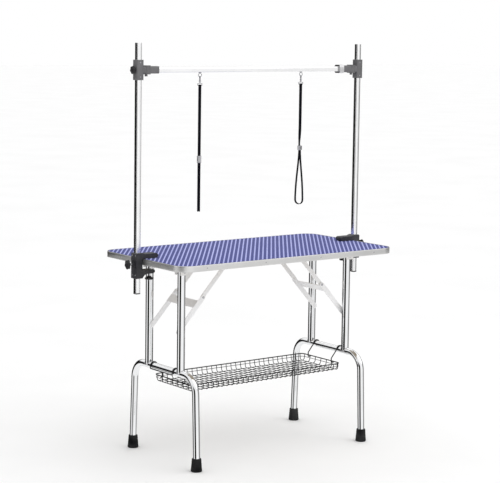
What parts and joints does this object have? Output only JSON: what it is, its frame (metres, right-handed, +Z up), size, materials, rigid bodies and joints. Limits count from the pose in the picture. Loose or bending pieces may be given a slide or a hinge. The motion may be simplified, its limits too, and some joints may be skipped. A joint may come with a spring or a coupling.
{
  "type": "folding grooming table",
  "caption": "Folding pet grooming table with ribbed non-slip top, clamped overhead H-frame, hanging noose straps, arched tube legs with folding braces, and a wire basket.",
  "frame": {"origin": "on the floor under the middle of the tabletop", "axes": "+X along the table towards its right-hand end, +Y towards the rear, +Z up"},
  "size_m": [1.3026, 0.6096, 1.7817],
  "materials": {
    "board": "raw board",
    "edge_band": "satin anodised",
    "mat": "ribbed matte",
    "white_steel": "powder coated",
    "zinc": "zinc plated",
    "black_plastic": "moulded",
    "grey_plastic": "moulded",
    "chrome": "polished",
    "rubber": "matte",
    "black_wire": "black dipped wire",
    "webbing": "woven nylon",
    "collar": "satin"
  },
  "bodies": {
    "table": {"tabletop_board": "board", "edge_band": "edge_band", "non_slip_mat": "mat", "left_leg_channel": "white_steel", "left_leg_hinge_rod": "zinc", "left_brace_bracket_front": "white_steel", "left_brace_bracket_rear": "white_steel", "left_clamp_body": "black_plastic", "right_leg_channel": "white_steel", "right_leg_hinge_rod": "zinc", "right_brace_bracket_front": "white_steel", "right_brace_bracket_rear": "white_steel", "right_clamp_body": "black_plastic"},
    "basket": {"basket_floor": "black_wire", "basket_wall_front": "black_wire", "basket_wall_rear": "black_wire", "basket_wall_left": "black_wire", "basket_wall_right": "black_wire", "left_basket_hanger": "black_wire", "right_basket_hanger": "black_wire"},
    "bar": {"crossbar": "chrome", "left_slider": "grey_plastic", "right_slider": "grey_plastic", "bar_collar": "collar", "left_bar_eye": "zinc", "right_bar_eye": "zinc"},
    "left_leg": {"left_upright_front": "chrome", "left_upright_rear": "chrome", "left_leg_arch": "chrome", "left_foot_front": "rubber", "left_foot_rear": "rubber"},
    "left_upper_links": {"left_upper_link_front": "white_steel", "left_upper_link_rear": "white_steel"},
    "left_lower_brace": {"left_lower_brace": "white_steel"},
    "left_post": {"left_post": "chrome", "left_post_plug": "black_plastic"},
    "left_loop": {"left_loop_hook": "zinc", "left_loop_strap": "webbing", "left_loop_slide": "zinc"},
    "left_slider_knob": {"left_slider_knob": "black_plastic"},
    "left_post_lock": {"left_post_lock": "black_plastic"},
    "left_clamp_pad": {"left_clamp_pad": "black_plastic"},
    "left_clamp_screw": {"left_clamp_screw": "black_plastic"},
    "right_leg": {"right_upright_front": "chrome", "right_upright_rear": "chrome", "right_leg_arch": "chrome", "right_foot_front": "rubber", "right_foot_rear": "rubber"},
    "right_upper_links": {"right_upper_link_front": "white_steel", "right_upper_link_rear": "white_steel"},
    "right_lower_brace": {"right_lower_brace": "white_steel"},
    "right_post": {"right_post": "chrome", "right_post_plug": "black_plastic"},
    "right_loop": {"right_loop_hook": "zinc", "right_loop_strap": "webbing", "right_loop_slide": "zinc"},
    "right_slider_knob": {"right_slider_knob": "black_plastic"},
    "right_post_lock": {"right_post_lock": "black_plastic"},
    "right_clamp_pad": {"right_clamp_pad": "black_plastic"},
    "right_clamp_screw": {"right_clamp_screw": "black_plastic"}
  },
  "joints": [
    {"name": "left_leg_fold", "type": "hinge", "parent": "table", "child": "left_leg", "pos_m": [-0.455, 0, 0.828], "axis": [0, -1, 0], "range_deg": [0, 90]},
    {"name": "left_upper_link_fold", "type": "hinge", "parent": "table", "child": "left_upper_links", "pos_m": [-0.215, 0, 0.828], "axis": [0, 1, 0], "range_deg": [0, 47.3]},
    {"name": "left_knee_fold", "type": "hinge", "parent": "left_upper_links", "child": "left_lower_brace", "pos_m": [-0.32822, 0, 0.70535], "axis": [0, -1, 0], "range_deg": [0, 180.01]},
    {"name": "right_leg_fold", "type": "hinge", "parent": "table", "child": "right_leg", "pos_m": [0.455, 0, 0.828], "axis": [0, 1, 0], "range_deg": [0, 84]},
    {"name": "right_upper_link_fold", "type": "hinge", "parent": "table", "child": "right_upper_links", "pos_m": [0.215, 0, 0.828], "axis": [0, -1, 0], "range_deg": [0, 46]},
    {"name": "right_knee_fold", "type": "hinge", "parent": "right_upper_links", "child": "right_lower_brace", "pos_m": [0.32822, 0, 0.70535], "axis": [0, 1, 0], "range_deg": [0, 171.52]},
    {"name": "basket_lift", "type": "slide", "parent": "table", "child": "basket", "axis": [0, 0, 1], "range_m": [0, 0.015]},
    {"name": "left_post_slide", "type": "slide", "parent": "table", "child": "left_post", "axis": [0, 0, 1], "range_m": [-0.05, 0.05]},
    {"name": "right_post_slide", "type": "slide", "parent": "table", "child": "right_post", "axis": [0, 0, 1], "range_m": [-0.05, 0.05]},
    {"name": "bar_height", "type": "slide", "parent": "left_post", "child": "bar", "axis": [0, 0, 1], "range_m": [-0.09, 0.065]},
    {"name": "left_slider_knob_turn", "type": "hinge", "parent": "bar", "child": "left_slider_knob", "pos_m": [-0.6113, 0, 1.6697], "axis": [-1, 0, 0], "continuous": true},
    {"name": "left_post_lock_turn", "type": "hinge", "parent": "table", "child": "left_post_lock", "pos_m": [-0.6113, 0, 0.858], "axis": [-1, 0, 0], "continuous": true},
    {"name": "left_clamp_pad_slide", "type": "slide", "parent": "table", "child": "left_clamp_pad", "axis": [0, 0, -1], "range_m": [0, 0.0101]},
    {"name": "left_clamp_screw_turn", "type": "hinge", "parent": "left_clamp_pad", "child": "left_clamp_screw", "pos_m": [-0.538, 0, 0.848], "axis": [0, 0, 1], "range_deg": [0, 2880]},
    {"name": "right_slider_knob_turn", "type": "hinge", "parent": "bar", "child": "right_slider_knob", "pos_m": [0.6, 0.0113, 1.6697], "axis": [0, 1, 0], "continuous": true},
    {"name": "right_post_lock_turn", "type": "hinge", "parent": "table", "child": "right_post_lock", "pos_m": [0.6113, 0, 0.858], "axis": [1, 0, 0], "continuous": true},
    {"name": "right_clamp_pad_slide", "type": "slide", "parent": "table", "child": "right_clamp_pad", "axis": [0, 0, -1], "range_m": [0, 0.0101]},
    {"name": "right_clamp_screw_turn", "type": "hinge", "parent": "right_clamp_pad", "child": "right_clamp_screw", "pos_m": [0.538, 0, 0.848], "axis": [0, 0, 1], "range_deg": [0, 2880]},
    {"name": "left_loop_swing", "type": "hinge", "parent": "bar", "child": "left_loop", "pos_m": [-0.286, 0, 1.6384], "axis": [1, 0, 0], "range_deg": [-70, 70]},
    {"name": "right_loop_swing", "type": "hinge", "parent": "bar", "child": "right_loop", "pos_m": [0.267, 0, 1.6384], "axis": [1, 0, 0], "range_deg": [-70, 70]}
  ],
  "couplings": [
    {"joint": "left_upper_link_fold", "follows": "left_leg_fold", "ratio": 0.52545},
    {"joint": "left_knee_fold", "follows": "left_leg_fold", "ratio": 2},
    {"joint": "right_upper_link_fold", "follows": "right_leg_fold", "ratio": 0.54745},
    {"joint": "right_knee_fold", "follows": "right_leg_fold", "ratio": 2.0418},
    {"joint": "right_post_slide", "follows": "left_post_slide", "ratio": 1},
    {"joint": "left_clamp_pad_slide", "follows": "left_clamp_screw_turn", "m_per_rad": 0.00019894},
    {"joint": "right_clamp_pad_slide", "follows": "right_clamp_screw_turn", "m_per_rad": 0.00019894}
  ]
}
